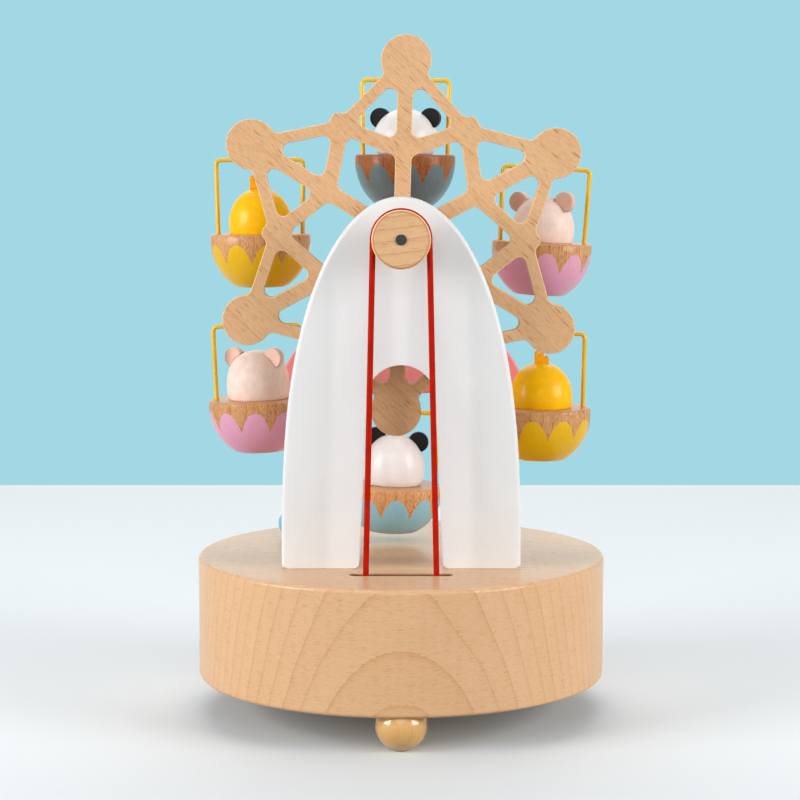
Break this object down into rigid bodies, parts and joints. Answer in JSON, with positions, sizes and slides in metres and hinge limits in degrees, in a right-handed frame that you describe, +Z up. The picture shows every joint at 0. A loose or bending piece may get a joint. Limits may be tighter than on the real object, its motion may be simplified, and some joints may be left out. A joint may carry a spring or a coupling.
{
  "type": "wind-up musical ferris wheel",
  "caption": "Wooden wind-up ferris wheel on a round musical base: a belt-driven lattice wheel on a white arch carries hanging half-ball gondolas with animal riders.",
  "frame": {"origin": "on the surface that the feet stand on, under the axis of the round base", "axes": "+Z up; -Y towards the belt side, +Y towards the gondola side; +X to the right seen from the belt side"},
  "size_m": [0.125, 0.125, 0.2059],
  "materials": {
    "beech": "oiled",
    "pale_wood": "satin lacquer",
    "plywood": "sanded",
    "zinc_steel": "zinc plated",
    "dark_steel": "blued",
    "spring_steel": "ground",
    "white_lacquer": "white satin lacquer",
    "brass": "turned",
    "red_rubber": "smooth",
    "coral_paint": "satin paint",
    "blue_paint": "satin paint",
    "cast_zinc": "die cast",
    "yellow_wire": "powder coat",
    "blue_seat": "beech with painted scallops",
    "yellow_seat": "beech with painted scallops",
    "pink_seat": "beech with painted scallops",
    "white_paint": "satin paint",
    "chick_paint": "satin paint",
    "bear_paint": "satin paint",
    "orange_paint": "satin paint",
    "black_paint": "satin paint"
  },
  "bodies": {
    "root": {"base": "beech", "ball_feet": "pale_wood", "bottom_plate": "plywood", "wood_screws": "zinc_steel", "movement_screws": "zinc_steel", "support_arch": "white_lacquer", "axle_bush": "brass", "drive_belt": "red_rubber", "gate_roof": "coral_paint", "gate_posts": "beech", "blue_ball": "blue_paint", "movement_bedplate": "cast_zinc", "musical_comb": "spring_steel", "governor_frame": "brass"},
    "wheel": {"wheel_frame": "beech", "hub_cap": "beech", "wheel_axle": "dark_steel", "top_pulley": "pale_wood", "gondola_pins": "zinc_steel"},
    "drive": {"drive_arbor": "dark_steel", "drive_pulley": "pale_wood", "music_cylinder": "brass", "cylinder_pinion": "brass"},
    "barrel": {"spring_barrel": "brass", "crown_gear": "brass", "mainspring": "spring_steel"},
    "key": {"key_arbor": "dark_steel", "winding_key": "zinc_steel"},
    "governor": {"governor_fan": "spring_steel"},
    "gondola_1": {"hanger_1": "brass", "bail_1": "yellow_wire", "seat_1": "blue_seat", "panda_head_1": "white_paint", "panda_ears_1": "black_paint"},
    "gondola_2": {"hanger_2": "brass", "bail_2": "yellow_wire", "seat_2": "yellow_seat", "chick_head_2": "chick_paint", "chick_comb_2": "orange_paint"},
    "gondola_3": {"hanger_3": "brass", "bail_3": "yellow_wire", "seat_3": "pink_seat", "bear_head_3": "bear_paint", "bear_ears_3": "bear_paint"},
    "gondola_4": {"hanger_4": "brass", "bail_4": "yellow_wire", "seat_4": "blue_seat", "panda_head_4": "white_paint", "panda_ears_4": "black_paint"},
    "gondola_5": {"hanger_5": "brass", "bail_5": "yellow_wire", "seat_5": "yellow_seat", "chick_head_5": "chick_paint", "chick_comb_5": "orange_paint"},
    "gondola_6": {"hanger_6": "brass", "bail_6": "yellow_wire", "seat_6": "pink_seat", "bear_head_6": "bear_paint", "bear_ears_6": "bear_paint"}
  },
  "joints": [
    {"name": "wheel_spin", "type": "hinge", "parent": "root", "child": "wheel", "pos_m": [0, -0.0165, 0.14625], "axis": [0, 1, 0], "continuous": true},
    {"name": "drive_spin", "type": "hinge", "parent": "root", "child": "drive", "pos_m": [0, -0.018, 0.0286], "axis": [0, 1, 0], "continuous": true},
    {"name": "barrel_spin", "type": "hinge", "parent": "root", "child": "barrel", "pos_m": [0, 0.008, 0.02], "axis": [0, 0, 1], "continuous": true},
    {"name": "governor_spin", "type": "hinge", "parent": "root", "child": "governor", "pos_m": [0, -0.0048, 0.0346], "axis": [1, 0, 0], "continuous": true},
    {"name": "key_turn", "type": "hinge", "parent": "root", "child": "key", "pos_m": [0, 0.008, 0.01], "axis": [0, 0, 1], "continuous": true},
    {"name": "gondola_1_hang", "type": "hinge", "parent": "wheel", "child": "gondola_1", "pos_m": [0.00149, 0.0215, 0.19843], "axis": [0, 1, 0], "continuous": true},
    {"name": "gondola_2_hang", "type": "hinge", "parent": "wheel", "child": "gondola_2", "pos_m": [-0.04444, 0.0215, 0.17363], "axis": [0, 1, 0], "continuous": true},
    {"name": "gondola_3_hang", "type": "hinge", "parent": "wheel", "child": "gondola_3", "pos_m": [-0.04593, 0.0215, 0.12145], "axis": [0, 1, 0], "continuous": true},
    {"name": "gondola_4_hang", "type": "hinge", "parent": "wheel", "child": "gondola_4", "pos_m": [-0.00149, 0.0215, 0.09407], "axis": [0, 1, 0], "continuous": true},
    {"name": "gondola_5_hang", "type": "hinge", "parent": "wheel", "child": "gondola_5", "pos_m": [0.04444, 0.0215, 0.11887], "axis": [0, 1, 0], "continuous": true},
    {"name": "gondola_6_hang", "type": "hinge", "parent": "wheel", "child": "gondola_6", "pos_m": [0.04593, 0.0215, 0.17105], "axis": [0, 1, 0], "continuous": true}
  ],
  "couplings": [
    {"joint": "drive_spin", "follows": "wheel_spin", "ratio": 0.75926},
    {"joint": "barrel_spin", "follows": "wheel_spin", "ratio": -0.23727},
    {"joint": "governor_spin", "follows": "wheel_spin", "ratio": 7.5926},
    {"joint": "gondola_1_hang", "follows": "wheel_spin", "ratio": -1},
    {"joint": "gondola_2_hang", "follows": "wheel_spin", "ratio": -1},
    {"joint": "gondola_3_hang", "follows": "wheel_spin", "ratio": -1},
    {"joint": "gondola_4_hang", "follows": "wheel_spin", "ratio": -1},
    {"joint": "gondola_5_hang", "follows": "wheel_spin", "ratio": -1},
    {"joint": "gondola_6_hang", "follows": "wheel_spin", "ratio": -1}
  ]
}
